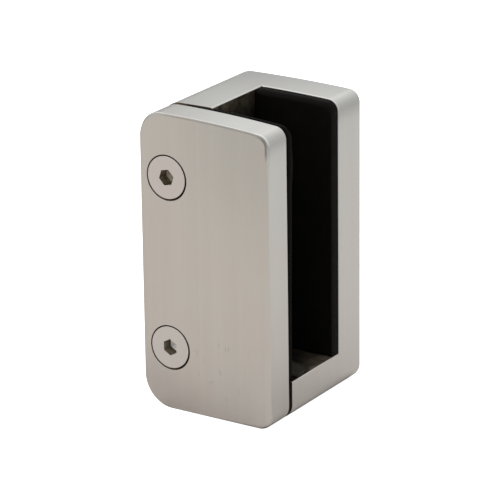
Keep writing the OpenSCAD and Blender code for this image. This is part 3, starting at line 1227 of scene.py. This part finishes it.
class CLAMP_OT_block(bpy.types.Operator):
    """Make the steel block"""

    bl_idname = "clamp.block"
    bl_label = "Block"

    def execute(self, context):
        piece = make_block(context.scene)
        finish = context.scene.clamp_finish
        ground = satin_steel("Satin Steel Block", finish.steel, finish.steel_roughness)
        # Painted shade inside the block, turning to painted light near the slot's mouth
        inner = shaded_steel("Shaded Steel Block", finish.shaded_steel, finish.mouth_lit_steel)
        give_materials(piece, ground, inner)
        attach(piece, "clamp")
        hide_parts("clamp_body")
        return {"FINISHED"}


class CLAMP_OT_front_plate(bpy.types.Operator):
    """Make the front plate"""

    bl_idname = "clamp.front_plate"
    bl_label = "Front Plate"

    def execute(self, context):
        piece = make_front_plate(context.scene)
        finish, steel = context.scene.clamp_finish, context.scene.clamp_steel
        ground = satin_steel("Satin Steel Plate", finish.steel, finish.steel_roughness, steel)
        give_materials(piece, ground, shaded_steel("Shaded Steel Plate", finish.seam_shade_steel))
        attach(piece, "jaw")
        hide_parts("front_plate")
        return {"FINISHED"}


class CLAMP_OT_gaskets(bpy.types.Operator):
    """Make the two rubber gaskets"""

    bl_idname = "clamp.gaskets"
    bl_label = "Gaskets"

    def execute(self, context):
        scene = context.scene
        rubber = matt_rubber("Gasket Rubber", scene.clamp_finish.rubber)
        front = make_gasket(scene, "rubber_front_gasket", FRONT_GASKET, wall_first=True, phase=0.4)
        back = make_gasket(scene, "rubber_back_gasket", BACK_GASKET, wall_first=False, phase=2.1)
        for piece, body, node in ((front, "jaw", "front_gasket"), (back, "clamp", "back_gasket")):
            give_materials(piece, rubber)
            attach(piece, body)
            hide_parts(node)
        return {"FINISHED"}


class CLAMP_OT_rest_pad(bpy.types.Operator):
    """Make the rest pad"""

    bl_idname = "clamp.rest_pad"
    bl_label = "Rest Pad"

    def execute(self, context):
        piece = make_rest_pad(context.scene)
        give_materials(piece, matt_rubber("Pad Rubber", context.scene.clamp_finish.pad_rubber))
        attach(piece, "clamp")
        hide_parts("rest_pad")
        return {"FINISHED"}


class CLAMP_OT_screws(bpy.types.Operator):
    """Make the two countersunk screws"""

    bl_idname = "clamp.screws"
    bl_label = "Screws"

    def execute(self, context):
        screws = context.scene.clamp_screws
        for node, socket_turn in (("upper_screw", screws.upper_turn), ("lower_screw", screws.lower_turn)):
            piece, thread = make_screw(context.scene, node, socket_turn)
            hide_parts(node)
            for part in (piece, thread):
                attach(part, node)
        return {"FINISHED"}


class CLAMP_OT_stage(bpy.types.Operator):
    """Make the floor, the light and the camera"""

    bl_idname = "clamp.stage"
    bl_label = "Stage"

    def execute(self, context):
        make_camera(context.scene.clamp_stage)
        make_floor()
        make_world()
        context.scene.view_settings.view_transform = "Standard"
        return {"FINISHED"}


class CLAMP_PT_panel(bpy.types.Panel):
    """Lists what can be made"""

    bl_label = "Glass Panel Clamp"
    bl_idname = "CLAMP_PT_panel"
    bl_space_type = "VIEW_3D"
    bl_region_type = "UI"
    bl_category = "Clamp"

    def draw(self, context):
        for maker in MAKERS:
            self.layout.operator(maker.bl_idname)
        for group in GROUPS:
            box = self.layout.box()
            box.label(text=group)
            settings = getattr(context.scene, group)
            for name in GROUPS[group].__annotations__:
                box.prop(settings, name)


MAKERS = (
    CLAMP_OT_stage,
    CLAMP_OT_block,
    CLAMP_OT_front_plate,
    CLAMP_OT_gaskets,
    CLAMP_OT_rest_pad,
    CLAMP_OT_screws,
)
GROUPS = {
    "clamp_steel": ClampSteelSizes,
    "clamp_rubber": ClampRubberSizes,
    "clamp_screws": ClampScrewSizes,
    "clamp_finish": ClampFinish,
    "clamp_stage": ClampStage,
}


def register():
    """Adds the settings, the operators and the panel"""
    for name, group in GROUPS.items():
        bpy.utils.register_class(group)
        setattr(bpy.types.Scene, name, bpy.props.PointerProperty(type=group))
    for item in (*MAKERS, CLAMP_PT_panel):
        bpy.utils.register_class(item)


def unregister():
    """Takes the settings, the operators and the panel away again"""
    for item in (CLAMP_PT_panel, *reversed(MAKERS)):
        bpy.utils.unregister_class(item)
    for name, group in reversed(GROUPS.items()):
        delattr(bpy.types.Scene, name)
        bpy.utils.unregister_class(group)


def main():
    """Makes everything in order"""
    register()
    for maker in MAKERS:
        family, action = maker.bl_idname.split(".")
        getattr(getattr(bpy.ops, family), action)()
    boxes = {"cad": CAD_BOX, "visual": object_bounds()}
    {name: [list(low), list(high)] for name, (low, high) in boxes.items()}


if __name__ == "__main__":
    main()
